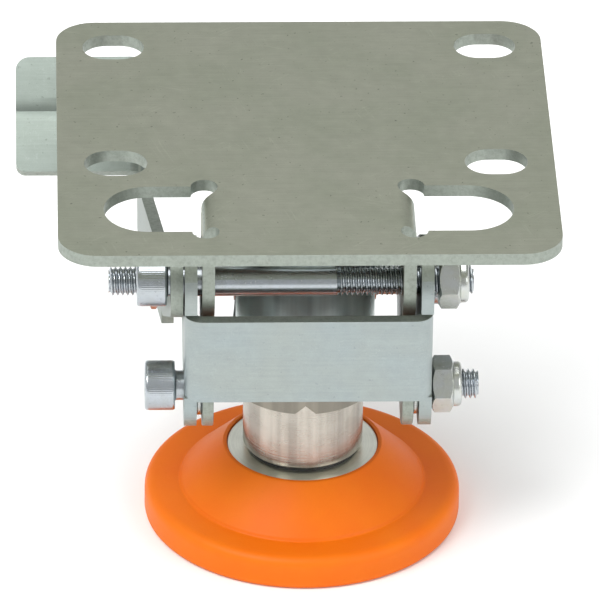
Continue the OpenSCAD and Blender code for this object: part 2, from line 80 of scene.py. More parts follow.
class Sock:
    """One output socket of a shader, which takes part in plain arithmetic."""

    def __init__(self, shade: "Shade", socket: bpy.types.NodeSocket) -> None:
        """Keeps the socket and the shader it belongs to.

        Args:
            shade: the shader under construction.
            socket: the output socket.
        """
        self.shade = shade
        self.socket = socket

    def _math(self, operation: str, first: "Sock | float", second: "Sock | float" = 0.0) -> "Sock":
        """One Math node.

        Args:
            operation: the node's operation.
            first: its first value.
            second: its second value.

        Returns:
            The node's result.
        """
        return self.shade.node("ShaderNodeMath", {"operation": operation}, {0: first, 1: second})

    def __add__(self, other: "Sock | float") -> "Sock":
        """Sum."""
        return self._math("ADD", self, other)

    def __radd__(self, other: float) -> "Sock":
        """Sum, with the number on the left."""
        return self._math("ADD", other, self)

    def __sub__(self, other: "Sock | float") -> "Sock":
        """Difference."""
        return self._math("SUBTRACT", self, other)

    def __rsub__(self, other: float) -> "Sock":
        """Difference, with the number on the left."""
        return self._math("SUBTRACT", other, self)

    def __mul__(self, other: "Sock | float") -> "Sock":
        """Product."""
        return self._math("MULTIPLY", self, other)

    def __rmul__(self, other: float) -> "Sock":
        """Product, with the number on the left."""
        return self._math("MULTIPLY", other, self)

    def size(self) -> "Sock":
        """Absolute value."""
        return self._math("ABSOLUTE", self)

    def limited(self) -> "Sock":
        """The value held between 0 and 1."""
        return self.shade.node("ShaderNodeClamp", {}, {0: self})


class Shade:
    """Builds one material's nodes."""

    def __init__(self, name: str) -> None:
        """Starts an empty material with one Principled shader.

        Args:
            name: the material's name.
        """
        self.material = bpy.data.materials.new(name)
        self.material.use_nodes = True
        self.tree = self.material.node_tree
        self.tree.nodes.clear()
        output = self.tree.nodes.new("ShaderNodeOutputMaterial")
        self.shader = self.tree.nodes.new("ShaderNodeBsdfPrincipled")
        self.tree.links.new(self.shader.outputs[0], output.inputs[0])

    def node(self, kind: str, settings: dict, inputs: dict, out: int = 0) -> Sock:
        """Any node at all.

        Args:
            kind: the node's type.
            settings: its properties, set first. "stops" fills a colour ramp.
            inputs: a value or a Sock for each socket, by name or number.
            out: which output to return.

        Returns:
            The chosen output.
        """
        made = self.tree.nodes.new(kind)
        for key, value in settings.items():
            if key == "stops":
                self._fill_ramp(made.color_ramp, value)
            else:
                setattr(made, key, value)
        for key, value in inputs.items():
            if isinstance(value, Sock):
                self.tree.links.new(value.socket, made.inputs[key])
            else:
                made.inputs[key].default_value = value
        return Sock(self, made.outputs[out])

    @staticmethod
    def _fill_ramp(ramp: bpy.types.ColorRamp, stops: Sequence[tuple[float, float]]) -> None:
        """Writes grey stops into a colour ramp.

        Args:
            ramp: the ramp.
            stops: place and grey value of each stop.
        """
        while len(ramp.elements) < len(stops):
            ramp.elements.new(1.0)
        for element, (place, grey) in zip(ramp.elements, stops):
            element.position = place
            element.color = (grey, grey, grey, 1.0)

    def place(self) -> Sock:
        """The surface point in millimetres, in the CAD frame."""
        raw = self.node("ShaderNodeTexCoord", {}, {}, 3)
        return self.scaled(raw, (1.0 / MM,) * 3)

    def scaled(self, vector: Sock, factors: Sequence[float]) -> Sock:
        """A vector times a fixed vector."""
        return self.node("ShaderNodeVectorMath", {"operation": "MULTIPLY"}, {0: vector, 1: factors})

    def turned(self, vector: Sock, angle: float) -> Sock:
        """A vector turned about Z by an angle in radians."""
        settings = {"rotation_type": "Z_AXIS"}
        return self.node("ShaderNodeVectorRotate", settings, {"Vector": vector, "Angle": angle})

    def noise(self, vector: Sock, scale: float, detail: float = 2.0, rough: float = 0.5) -> Sock:
        """Noise between 0 and 1.

        Args:
            vector: where it is read.
            scale: its frequency.
            detail: its number of octaves.
            rough: how strong the finer octaves are.

        Returns:
            The noise's value.
        """
        inputs = {"Vector": vector, "Scale": scale, "Detail": detail, "Roughness": rough}
        return self.node("ShaderNodeTexNoise", {}, inputs)

    def ramp(self, value: Sock, stops: Sequence[tuple[float, float]]) -> Sock:
        """A value through grey stops."""
        return self.node("ShaderNodeValToRGB", {"stops": stops}, {0: value})

    def mix(self, share: Sock | float, first: Sock | Colour, second: Sock | Colour,
            blend: str = "MIX") -> Sock:
        """Mixes two colours.

        Args:
            share: how much of the second.
            first: the first colour.
            second: the second colour.
            blend: the way of mixing.

        Returns:
            The mixed colour.
        """
        settings = {"data_type": "RGBA", "blend_type": blend}
        return self.node("ShaderNodeMix", settings, {0: share, 6: opaque(first), 7: opaque(second)}, 2)

    def about_z(self, vector: Sock, centre: Triple) -> tuple[Sock, Sock]:
        """Distance from an upright axis, and height along it, in millimetres.

        Args:
            vector: the surface point.
            centre: a point of the axis in metres.

        Returns:
            The distance and the height above the centre.
        """
        offset = tuple(-c / MM for c in centre)
        local = self.node("ShaderNodeVectorMath", {"operation": "ADD"}, {0: vector, 1: offset})
        flat = self.scaled(local, (1.0, 1.0, 0.0))
        distance = self.node("ShaderNodeVectorMath", {"operation": "LENGTH"}, {0: flat}, 1)
        return distance, self.height(local)

    def height(self, vector: Sock) -> Sock:
        """The part of a vector along Z."""
        return self.node("ShaderNodeSeparateXYZ", {}, {0: vector}, 2)

    def paint(self, colour: Sock, value: Sock) -> None:
        """Sets the base colour.

        Args:
            colour: the colour.
            value: what it is multiplied by.
        """
        grey = self.node("ShaderNodeCombineColor", {}, {0: value, 1: value, 2: value})
        self.set("Base Color", self.mix(1.0, colour, grey, "MULTIPLY"))

    def bump(self, height: Sock, strength: float, depth: float) -> None:
        """Bumps the surface.

        Args:
            height: the height, 0 to 1.
            strength: the share of the effect.
            depth: the height of 1 in metres.
        """
        inputs = {"Strength": strength, "Distance": depth, "Height": height}
        self.set("Normal", self.node("ShaderNodeBump", {}, inputs))

    def set(self, socket: str, value: Sock | float | Sequence[float]) -> None:
        """Sets one input of the surface shader."""
        if isinstance(value, Sock):
            self.tree.links.new(value.socket, self.shader.inputs[socket])
        else:
            self.shader.inputs[socket].default_value = value


def opaque(colour: Sock | Sequence[float]) -> Sock | tuple[float, ...]:
    """A plain colour with its alpha, or the socket as it is."""
    return colour if isinstance(colour, Sock) else (*colour, 1.0)


# ---- Finishes ----------------------------------------------------------


@dataclass(frozen=True)
class PlatedSheet:
    """Zinc-plated rolled sheet: faint grain, blotches, specks and hairline scratches."""

    name: str
    colour: Colour
    tint: Colour
    tint_share: float = 0.5
    metallic: float = 0.85
    rough: tuple[float, float] = (0.34, 0.5)
    grain: Triple = (0.08, 2.6, 2.6)
    grain_share: float = 0.5
    specks: float = 0.5
    scratches: float = 0.5
    bump: float = 0.35

    def hairlines(self, shade: Shade, place: Sock) -> Sock:
        """Sparse fine scratches in three directions.

        Args:
            shade: the shader.
            place: the surface point.

        Returns:
            1 on a scratch and 0 elsewhere.
        """
        total: Sock | None = None
        for number, angle in enumerate((0.35, 1.25, 2.45)):
            turned = shade.turned(place, angle)
            shift = shade.node("ShaderNodeVectorMath", {"operation": "ADD"},
                               {0: turned, 1: (17.0 * number, 5.0, 0.0)})
            line = shade.noise(shade.scaled(shift, (0.035, 0.9, 0.9)), 1.0, 1.0)
            hair = (1.0 - (line - 0.5).size() * 95.0).limited()
            patch = shade.ramp(shade.noise(shift, 0.09, 1.0), ((0.55, 0.0), (0.63, 1.0)))
            hair = hair * patch
            total = hair if total is None else (total + hair).limited()
        return total

    def build(self) -> bpy.types.Material:
        """Builds the material."""
        shade = Shade(self.name)
        place = shade.place()
        blotch = shade.ramp(shade.noise(place, 0.055, 3.0, 0.55), ((0.36, 0.0), (0.64, 1.0)))
        cloud = shade.noise(place, 0.35, 4.0, 0.6)
        fine = shade.noise(place, 3.4, 3.0, 0.6)
        grain = shade.noise(shade.scaled(place, self.grain), 1.0, 3.0, 0.65)
        speck = shade.ramp(shade.noise(place, 1.05, 2.0, 0.55), ((0.69, 0.0), (0.735, 1.0)))
        hair = self.hairlines(shade, place)
        colour = shade.mix(blotch * self.tint_share, self.colour, self.tint)
        value = 0.9 + (grain - 0.5) * (0.5 * self.grain_share) + (fine - 0.5) * 0.16
        value = value + (cloud - 0.5) * 0.22 + hair * (0.25 * self.scratches) + 0.08
        value = value - speck * (0.38 * self.specks)
        shade.paint(colour, value)
        low, high = self.rough
        rough = low + (cloud * 0.5 + fine * 0.3 + grain * 0.2) * (high - low)
        shade.set("Roughness", rough - hair * (0.06 * self.scratches) + speck * (0.15 * self.specks))
        shade.set("Metallic", self.metallic)
        height = grain * 0.45 + fine * 0.35 - hair * (0.5 * self.scratches) - speck * 0.3
        shade.bump(height, self.bump, 0.02 * MM)
        return shade.material


@dataclass(frozen=True)
class CutEdge:
    """Sheared edge of plated sheet: satin, with torn and darker patches."""

    name: str
    colour: Colour
    dark: Colour

    def build(self) -> bpy.types.Material:
        """Builds the material."""
        shade = Shade(self.name)
        place = shade.place()
        torn = shade.ramp(shade.noise(place, 1.1, 5.0, 0.72), ((0.44, 0.0), (0.74, 1.0)))
        streak = shade.noise(shade.scaled(place, (1.4, 1.4, 0.5)), 1.0, 4.0, 0.65)
        fine = shade.noise(place, 5.5, 2.0, 0.6)
        colour = shade.mix(torn * 0.32, self.colour, self.dark)
        value = 0.82 + streak * 0.2 + fine * 0.16
        shade.paint(colour, value)
        shade.set("Roughness", 0.42 + torn * 0.2 + fine * 0.08)
        shade.set("Metallic", 0.75)
        shade.bump(streak * 0.5 + torn * 0.4 + fine * 0.3, 0.5, 0.05 * MM)
        return shade.material


@dataclass(frozen=True)
class TurnedSteel:
    """Turned or drawn steel: fine rings about an upright axis, and soft painted highlight and shade
    stripes along it, in place of reflections of the lamps.

    Below a set depth, in millimetres under the plate's top face, the colour turns darker and browner
    towards the bottom.
    """

    name: str
    colour: Colour
    tint: Colour
    centre: Triple
    pitch: float = 0.22
    metallic: float = 1.0
    rough: tuple[float, float] = (0.22, 0.36)
    ring_share: float = 0.5
    blotch: float = 0.4
    bump: float = 0.3
    # Strength of the painted highlight and shade stripes.
    painted_light_depth: float = 0.0
    dark_tone: Colour = (0.20, 0.175, 0.135)
    bottom_tone_share: float = 0.0
    bottom_tone_depth: float = 42.0
    bottom_tone_rise: float = 0.3

    def build(self) -> bpy.types.Material:
        """Builds the material."""
        shade = Shade(self.name)
        place = shade.place()
        distance, along = shade.about_z(place, self.centre)
        drift = shade.noise(place, 0.3, 1.0)
        frequency = 1.0 / self.pitch
        line = shade.node("ShaderNodeCombineXYZ", {}, {
            0: distance * frequency, 1: along * frequency, 2: drift * 1.6})
        rings = shade.noise(line, 1.0, 3.0, 0.65)
        cloud = shade.ramp(shade.noise(place, 0.16, 4.0, 0.6), ((0.35, 0.0), (0.68, 1.0)))
        fine = shade.noise(place, 3.0, 3.0, 0.6)
        colour = shade.mix(cloud * self.blotch, self.colour, self.tint)
        # Darker and browner towards the bottom, from a set depth down.
        if self.bottom_tone_share:
            low = ((shade.height(place) * -1.0 - self.bottom_tone_depth) * self.bottom_tone_rise).limited()
            colour = shade.mix(low * self.bottom_tone_share, colour, self.dark_tone)
        # Painted light: soft lighter and darker stripes along the axis, painted into the base colour in
        # place of reflections of the lamps.
        across = shade.scaled(place, (0.42, 0.15, 0.008))
        painted_light_bands = shade.ramp(shade.noise(across, 1.0, 2.0, 0.5), ((0.36, 0.0), (0.62, 1.0)))
        value = (0.84 - self.painted_light_depth * 0.5 + painted_light_bands * self.painted_light_depth
                 + rings * (0.3 * self.ring_share) + fine * 0.1)
        shade.paint(colour, value)
        low, high = self.rough
        shade.set("Roughness", low + (rings * 0.6 + cloud * 0.4) * (high - low))
        shade.set("Metallic", self.metallic)
        shade.bump(rings * self.ring_share + fine * 0.2, self.bump, 0.02 * MM)
        return shade.material


@dataclass(frozen=True)
class BrightZinc:
    """Small bright metal piece: plated fastener, spring wire or sleeve."""

    name: str
    colour: Colour
    tint: Colour
    rough: tuple[float, float] = (0.2, 0.34)
    tint_share: float = 0.6

    def build(self) -> bpy.types.Material:
        """Builds the material."""
        shade = Shade(self.name)
        place = shade.place()
        cloud = shade.ramp(shade.noise(place, 0.42, 3.0, 0.6), ((0.38, 0.0), (0.62, 1.0)))
        fine = shade.noise(place, 4.5, 3.0, 0.65)
        dark_tone = shade.ramp(shade.noise(place, 1.3, 3.0, 0.6), ((0.6, 0.0), (0.74, 1.0)))
        colour = shade.mix(cloud * self.tint_share, self.colour, self.tint)
        value = 0.9 + (fine - 0.5) * 0.3 - dark_tone * 0.22 + 0.04
        shade.paint(colour, value)
        low, high = self.rough
        shade.set("Roughness", low + (fine * 0.6 + dark_tone * 0.4) * (high - low))
        shade.set("Metallic", 0.95)
        shade.bump(fine * 0.6 - dark_tone * 0.3, 0.3, 0.02 * MM)
        return shade.material


@dataclass(frozen=True)
class Moulded:
    """Moulded rubber or plastic: satin, faintly mottled, with a very fine skin."""

    name: str
    colour: Colour
    shade_colour: Colour
    rough: tuple[float, float] = (0.34, 0.46)
    skin: float = 0.25
    grime: float = 0.12
    shine: float = 0.5

    def build(self) -> bpy.types.Material:
        """Builds the material."""
        shade = Shade(self.name)
        place = shade.place()
        cloud = shade.noise(place, 0.07, 3.0, 0.55)
        fine = shade.noise(place, 2.2, 4.0, 0.6)
        dust = shade.ramp(shade.noise(place, 1.2, 2.0, 0.5), ((0.7, 0.0), (0.76, 1.0)))
        scuff = shade.noise(shade.scaled(place, (0.4, 0.4, 3.0)), 1.0, 2.0)
        colour = shade.mix(shade.ramp(cloud, ((0.35, 0.0), (0.7, 1.0))), self.colour, self.shade_colour)
        value = 1.0 - dust * self.grime - (fine - 0.5) * 0.05
        shade.paint(colour, value)
        low, high = self.rough
        shade.set("Roughness", low + (fine * 0.5 + scuff * 0.5) * (high - low) + dust * 0.1)
        shade.set("Metallic", 0.0)
        shade.set("Specular IOR Level", self.shine)
        shade.bump(fine * 0.6 + scuff * 0.4, self.skin, 0.02 * MM)
        return shade.material


# ---- Mesh tools --------------------------------------------------------


class Section(Enum):
    """Shape of a ring across the piece's axis."""

    ROUND = 0
    HEX = 1
    TOOTHED = 2


@dataclass(frozen=True)
class Ring:
    """One ring of a turned piece: its radius, its place along the axis and its section.

    A hex ring is clipped by its radius, and size is its width across flats.
    A toothed ring is a knurl, and size is its tooth depth.
    """

    radius: float
    height: float
    section: Section = Section.ROUND
    size: float = 0.0

    def radius_at(self, angle: float, teeth: int) -> float:
        """The ring's radius at an angle.

        Args:
            angle: the angle in radians.
            teeth: number of teeth of a toothed ring.

        Returns:
            The radius in metres.
        """
        if self.section is Section.HEX:
            off = (angle + math.pi / 6) % (math.pi / 3) - math.pi / 6
            return min(self.radius, self.size / 2 / math.cos(off))
        if self.section is Section.TOOTHED:
            return self.radius - self.size * (0.5 - 0.5 * math.cos(teeth * angle))
        return self.radius


def rounded(points: Sequence[Point], radii: Sequence[float], steps: int = 5) -> list[Point]:
    """Rounds the corners of an open outline.

    Args:
        points: the outline's corners.
        radii: the radius at each corner, 0 for a sharp one.
        steps: number of pieces of each arc.

    Returns:
        The outline with its arcs.
    """
    made: list[Point] = []
    for index, point in enumerate(points):
        radius = radii[index]
        if radius <= 0 or index in (0, len(points) - 1):
            made.append(point)
            continue
        here = Vector(point)
        back = Vector(points[index - 1]) - here
        ahead = Vector(points[index + 1]) - here
        angle = back.angle(ahead)
        reach = min(radius / math.tan(angle / 2), 0.49 * back.length, 0.49 * ahead.length)
        start = here + back.normalized() * reach
        end = here + ahead.normalized() * reach
        for step in range(steps + 1):
            t = step / steps
            made.append(tuple(start * (1 - t) ** 2 + here * (2 * t * (1 - t)) + end * t ** 2))
    return made


class Shells:
    """Collects the closed shells of one piece and makes its object."""

    def __init__(self, name: str, stand: Matrix) -> None:
        """Starts a piece.

        Args:
            name: the piece's name.
            stand: takes the shells from their own axis, +Z, to the CAD frame.
        """
        self.name = name
        self.stand = stand
        self.mesh = bmesh.new()

    def lathe(self, rings: Sequence[Ring], count: int, loop: bool = False, teeth: int = 0) -> None:
        """Adds one turned shell.

        Args:
            rings: the rings in order. A first or last ring of radius 0 is a pole.
            count: number of points round each ring.
            loop: joins the last ring to the first, for a hollow piece.
            teeth: number of teeth of the toothed rings.
        """
        rows = []
        for ring in rings:
            if ring.radius <= 0:
                rows.append([self.mesh.verts.new((0.0, 0.0, ring.height))])
                continue
            row = []
            for step in range(count):
                angle = TAU * step / count
                radius = ring.radius_at(angle, teeth)
                row.append(self.mesh.verts.new(
                    (radius * math.cos(angle), radius * math.sin(angle), ring.height)))
            rows.append(row)
        pairs = list(zip(rows, rows[1:])) + ([(rows[-1], rows[0])] if loop else [])
        for low, high in pairs:
            self._band(low, high, count)

    def _band(self, low: list, high: list, count: int) -> None:
        """Joins two rows of points by faces."""
        for step in range(count):
            after = (step + 1) % count
            if len(low) == 1:
                self.mesh.faces.new((low[0], high[step], high[after]))
            elif len(high) == 1:
                self.mesh.faces.new((low[step], high[0], low[after]))
            else:
                self.mesh.faces.new((low[step], high[step], high[after], low[after]))

    def thread(self, start: float, end: float, radius: float, depth: float, pitch: float,
               count: int) -> None:
        """Adds a shank end with a helical thread, closed at both ends.

        Args:
            start: where the thread begins.
            end: the tip.
            radius: outer radius.
            depth: depth of the thread.
            pitch: its pitch.
            count: number of points round the shank.
        """
        profile = (1.0, 1.0, 0.55, 0.1, 0.0, 0.0, 0.35, 0.8)
        steps = len(profile)
        tip = 0.8 * depth
        root = radius - depth - 0.4 * tip
        total = int(math.ceil((end - start) / pitch)) + 3
        rows = []
        for row_number in range(total * steps):
            row = []
            for step in range(count):
                angle = TAU * step / count
                height = start + (row_number / steps + step / count - 1.5) * pitch
                level = profile[row_number % steps]
                height = min(max(height, start), end)
                fade = min(1.0, (height - start) / pitch)
                lean = min(1.0, (end - height) / tip)
                reach = radius - depth * (1 - level) * fade * 0.999 - (1 - lean) * tip
                if height <= start:
                    reach = radius
                if height >= end:
                    reach = root
                reach = max(reach, root)
                row.append(self.mesh.verts.new(
                    (reach * math.cos(angle), reach * math.sin(angle), height)))
            rows.append(row)
        last = len(rows) - 1
        for number in range(last):
            for step in range(count):
                after = (step + 1) % count
                lift = steps if after == 0 else 0
                high, far = min(number + 1 + lift, last), min(number + lift, last)
                if high == far:
                    continue
                quad = (rows[number][step], rows[number + 1][step], rows[high][after], rows[far][after])
                self.mesh.faces.new(quad)
        for row, height in ((rows[0], start), (rows[-1], end)):
            pole = self.mesh.verts.new((0.0, 0.0, height))
            for step in range(count):
                self.mesh.faces.new((row[step], row[(step + 1) % count], pole))

    def coil(self, radius: float, wire: float, low: float, high: float, turns: float,
             sides: int = 16, steps_a_turn: int = 48) -> None:
        """Adds a compression spring with closed end turns.

        Args:
            radius: radius of the wire's middle line.
            wire: diameter of the wire.
            low: lower face.
            high: upper face.
            turns: number of turns.
            sides: number of points round the wire.
            steps_a_turn: number of rings in one turn.
        """
        steps = int(turns * steps_a_turn)
        closed = 0.8
        bottom, top = low + wire / 2, high - wire / 2
        lift = wire * 0.9 * closed
        rows = []
        for step in range(steps + 1):
            turn = turns * step / steps
            if turn < closed:
                height = bottom + lift * (turn / closed) ** 2
            elif turn > turns - closed:
                height = top - lift * ((turns - turn) / closed) ** 2
            else:
                share = (turn - closed) / (turns - 2 * closed)
                height = bottom + lift + (top - bottom - 2 * lift) * share
            angle = TAU * turn
            row = []
            for side in range(sides):
                around = TAU * side / sides
                reach = radius + wire / 2 * math.cos(around)
                row.append(self.mesh.verts.new((reach * math.cos(angle), reach * math.sin(angle),
                                                height + wire / 2 * math.sin(around))))
            rows.append(row)
        for first, second in zip(rows, rows[1:]):
            self._band(first, second, sides)
        self.mesh.faces.new(rows[0])
        self.mesh.faces.new(rows[-1])

    def piece(self, materials: Sequence[bpy.types.Material], sharp: float = 35.0) -> bpy.types.Object:
        """Makes the object.

        Args:
            materials: its materials.
            sharp: an edge steeper than this angle in degrees stays sharp.

        Returns:
            The object, in the CAD frame.
        """
        bmesh.ops.remove_doubles(self.mesh, verts=self.mesh.verts, dist=WELD)
        bmesh.ops.dissolve_degenerate(self.mesh, edges=self.mesh.edges, dist=WELD)
        bmesh.ops.recalc_face_normals(self.mesh, faces=self.mesh.faces)
        self.mesh.transform(self.stand)
        data = bpy.data.meshes.new(self.name)
        self.mesh.to_mesh(data)
        self.mesh.free()
        return finished(self.name, data, materials, sharp)


def finished(name: str, data: bpy.types.Mesh, materials: Iterable[bpy.types.Material],
             sharp: float) -> bpy.types.Object:
    """Puts a mesh in the scene with its materials and smooth shading.

    Args:
        name: the object's name.
        data: its mesh.
        materials: its materials.
        sharp: an edge steeper than this angle in degrees stays sharp.

    Returns:
        The object.
    """
    data.materials.clear()
    for material in materials:
        data.materials.append(material)
    data.shade_smooth()
    data.set_sharp_from_angle(angle=math.radians(sharp))
    made = bpy.data.objects.new(name, data)
    bpy.context.scene.collection.objects.link(made)
    weight = made.modifiers.new("even_normals", "WEIGHTED_NORMAL")
    weight.keep_sharp = True
    return made


@dataclass
class BrokenEdges:
    """A CAD solid with its sharp edges broken, as tumbling leaves them."""

    node: str
    materials: Sequence[bpy.types.Material]
    width: float = 0.2 * MM
    steps: int = 2
    limit: float = 30.0
    edge_rule: EdgeRule | None = None

    def piece(self, name: str) -> bpy.types.Object:
        """Builds the piece from the CAD node's mesh.

        Args:
            name: the piece's name.

        Returns:
            The object.
        """
        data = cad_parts[self.node].data.copy()
        shape = bmesh.new()
        shape.from_mesh(data)
        bmesh.ops.remove_doubles(shape, verts=shape.verts, dist=2e-6)
        bmesh.ops.dissolve_limit(shape, angle_limit=math.radians(0.6), verts=shape.verts,
                                 edges=shape.edges)
        shape.to_mesh(data)
        shape.free()
        draft = bpy.data.objects.new(name + "_draft", data)
        bpy.context.scene.collection.objects.link(draft)
        bevel = draft.modifiers.new("broken_edges", "BEVEL")
        bevel.width = self.width
        bevel.segments = self.steps
        bevel.limit_method = "ANGLE"
        bevel.angle_limit = math.radians(self.limit)
        bevel.use_clamp_overlap = True
        bevel.miter_outer = "MITER_ARC"
        graph = bpy.context.evaluated_depsgraph_get()
        final = bpy.data.meshes.new_from_object(draft.evaluated_get(graph))
        bpy.data.objects.remove(draft)
        made = finished(name, final, self.materials, 32.0)
        if self.edge_rule is not None:
            for face in made.data.polygons:
                face.material_index = int(self.edge_rule(face.center, face.normal))
        return made


def along_z(node: str) -> Matrix:
    """Stand of a turned piece on the vertical line through a node's middle."""
    low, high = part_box(node)
    return Matrix.Translation(((low.x + high.x) / 2, (low.y + high.y) / 2, 0.0))


def along_x(x: float, node: str, way: int) -> Matrix:
    """Stand of a turned piece lying along X on a node's middle line.

    Args:
        x: where its own zero lies.
        node: the CAD node that gives the line.
        way: 1 if it points to the right, -1 to the left.

    Returns:
        The matrix.
    """
    low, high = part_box(node)
    at = Vector((x, (low.y + high.y) / 2, (low.z + high.z) / 2))
    return Matrix.Translation(at) @ Matrix.Rotation(way * math.pi / 2, 4, "Y")


def settle(piece: bpy.types.Object, body: str, slot: str, *nodes: str) -> bpy.types.Object:
    """Puts a piece on the body it rides on, and hides the CAD nodes that it stands for.

    Args:
        piece: the piece.
        body: the CAD body.
        slot: not used.
        nodes: the CAD nodes that the piece replaces.

    Returns:
        The piece.
    """
    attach(piece, body)
    if nodes:
        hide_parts(*nodes)
    log.info("%s rides on %s, %d points", piece.name, body, len(piece.data.vertices))
    return piece


# ---- Sub-assemblies ----------------------------------------------------


@dataclass
class Finishes:
    """Every finish, made once."""

    column: Vector = field(default_factory=lambda: sum(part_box("plunger"), Vector()) / 2)

    def __post_init__(self) -> None:
        """Builds the materials."""
        centre = tuple(self.column)
        self.plate = PlatedSheet(
            "dull_zinc_plate", (0.312, 0.322, 0.259), (0.277, 0.296, 0.229), tint_share=0.7,
            rough=(0.36, 0.5), scratches=0.35, specks=1.1, bump=0.3).build()
        self.bracket = PlatedSheet(
            "pale_zinc_bracket", (0.328, 0.375, 0.377), (0.343, 0.371, 0.344), tint_share=0.6,
            rough=(0.34, 0.48), grain_share=0.35, scratches=0.4, specks=0.35, bump=0.25).build()
        self.lever = PlatedSheet(
            "pale_zinc_lever", (0.235, 0.270, 0.247), (0.220, 0.255, 0.225), tint_share=0.6,
            rough=(0.34, 0.5), scratches=0.6, specks=0.6, bump=0.35).build()
        self.cut = CutEdge("sheared_zinc_edge", (0.310, 0.343, 0.302), (0.158, 0.172, 0.144)).build()
        self.screw = BrightZinc("blue_zinc_screw", (0.455, 0.490, 0.525), (0.410, 0.438, 0.440)).build()
        self.nut = BrightZinc("tinted_zinc_nut", (0.537, 0.558, 0.548), (0.512, 0.527, 0.449)).build()
        self.nylon = Moulded("natural_nylon", (0.80, 0.80, 0.76), (0.74, 0.74, 0.70)).build()
        self.tube = TurnedSteel(
            "drawn_tube", (0.750, 0.820, 0.810), (0.690, 0.710, 0.640), centre, pitch=0.5,
            rough=(0.26, 0.38), ring_share=0.3, painted_light_depth=0.25, bottom_tone_share=0.9).build()
        self.plunger = TurnedSteel(
            "brushed_plunger", (0.475, 0.446, 0.396), (0.361, 0.336, 0.292), centre,
            pitch=0.16, rough=(0.2, 0.34), ring_share=0.9, blotch=0.6,
            painted_light_depth=0.45).build()
        self.core = TurnedSteel(
            "turned_core", (0.860, 0.865, 0.780), (0.700, 0.710, 0.640), centre, pitch=0.3,
            rough=(0.26, 0.42), ring_share=0.9).build()
        self.seat = TurnedSteel(
            "turned_seat", (0.45, 0.46, 0.46), (0.36, 0.37, 0.37), centre,
            rough=(0.3, 0.42)).build()
        self.spring = BrightZinc("oiled_spring_wire", (0.22, 0.23, 0.24), (0.28, 0.25, 0.20)).build()
        self.sleeve = BrightZinc("steel_sleeve", (0.34, 0.33, 0.31), (0.28, 0.27, 0.25)).build()
        self.washer = Moulded("black_slip_washer", (0.012, 0.012, 0.013), (0.02, 0.02, 0.02)).build()
        self.orange = Moulded(
            "orange_urethane", (0.800, 0.168, 0.002), (0.785, 0.144, 0.002), rough=(0.42, 0.56),
            skin=0.2, grime=0.05, shine=0.22).build()


@dataclass
class Screw:
    """Socket head screw: knurled head, hex socket, smooth shank and rolled thread."""

    node: str
    body: str
    way: int
    thread_length: float
    head_height: float = 6.0 * MM
    head_radius: float = 5.0 * MM
    shank_radius: float = 3.0 * MM
    crown: float = 0.55 * MM
    teeth: int = 72
    tooth_depth: float = 0.035 * MM
    socket_flats: float = 5.0 * MM
    socket_depth: float = 3.0 * MM
    thread_depth: float = 0.58 * MM
    pitch: float = 1.0 * MM

    def head_rings(self) -> list[Ring]:
        """Rings of the head, from the socket's floor round to the underside."""
        top = -self.head_height
        floor = top + self.socket_depth
        wide = 10 * self.head_radius
        mouth = self.socket_flats / 2 / math.cos(math.pi / 6)
        rings = [Ring(0.0, floor + 0.5 * MM), Ring(wide, floor, Section.HEX, self.socket_flats),
                 Ring(wide, top + 0.35 * MM, Section.HEX, self.socket_flats),
                 Ring(mouth + 0.12 * MM, top)]
        start = self.head_radius - self.crown
        for step in range(7):
            angle = math.pi / 2 * step / 6
            rings.append(Ring(start + self.crown * math.sin(angle),
                              top + self.crown * (1 - math.cos(angle))))
        knurl_top, knurl_low = top + self.crown + 0.25 * MM, -0.55 * MM
        for height in (knurl_top, knurl_top + 0.3 * MM, knurl_low - 0.3 * MM, knurl_low):
            inner = height not in (knurl_top, knurl_low)
            rings.append(Ring(self.head_radius, height, Section.TOOTHED,
                              self.tooth_depth if inner else 0.0))
        rings += [Ring(self.head_radius, -0.35 * MM), Ring(self.head_radius - 0.2 * MM, 0.0),
                  Ring(0.0, 0.0)]
        return rings

    def build(self, finishes: Finishes) -> None:
        """Builds the screw and settles it on its body."""
        low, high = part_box(self.node)
        length = high.x - low.x - self.head_height
        head_x = low.x + self.head_height if self.way > 0 else high.x - self.head_height
        shells = Shells(self.node.replace("screw", "bolt"), along_x(head_x, self.node, self.way))
        shells.lathe(self.head_rings(), 4 * self.teeth, teeth=self.teeth)
        start = length - self.thread_length
        neck = self.shank_radius + 0.25 * MM
        shells.lathe([Ring(0.0, -0.5 * MM), Ring(neck, -0.5 * MM), Ring(neck, 0.0),
                      Ring(self.shank_radius, 0.3 * MM), Ring(self.shank_radius, start),
                      Ring(self.shank_radius - 0.5 * MM, start + 0.2 * MM),
                      Ring(0.0, start + 0.2 * MM)], 72)
        shells.thread(start, length, self.shank_radius, self.thread_depth, self.pitch, 48)
        settle(shells.piece([finishes.screw]), self.body, "blue_zinc", self.node)


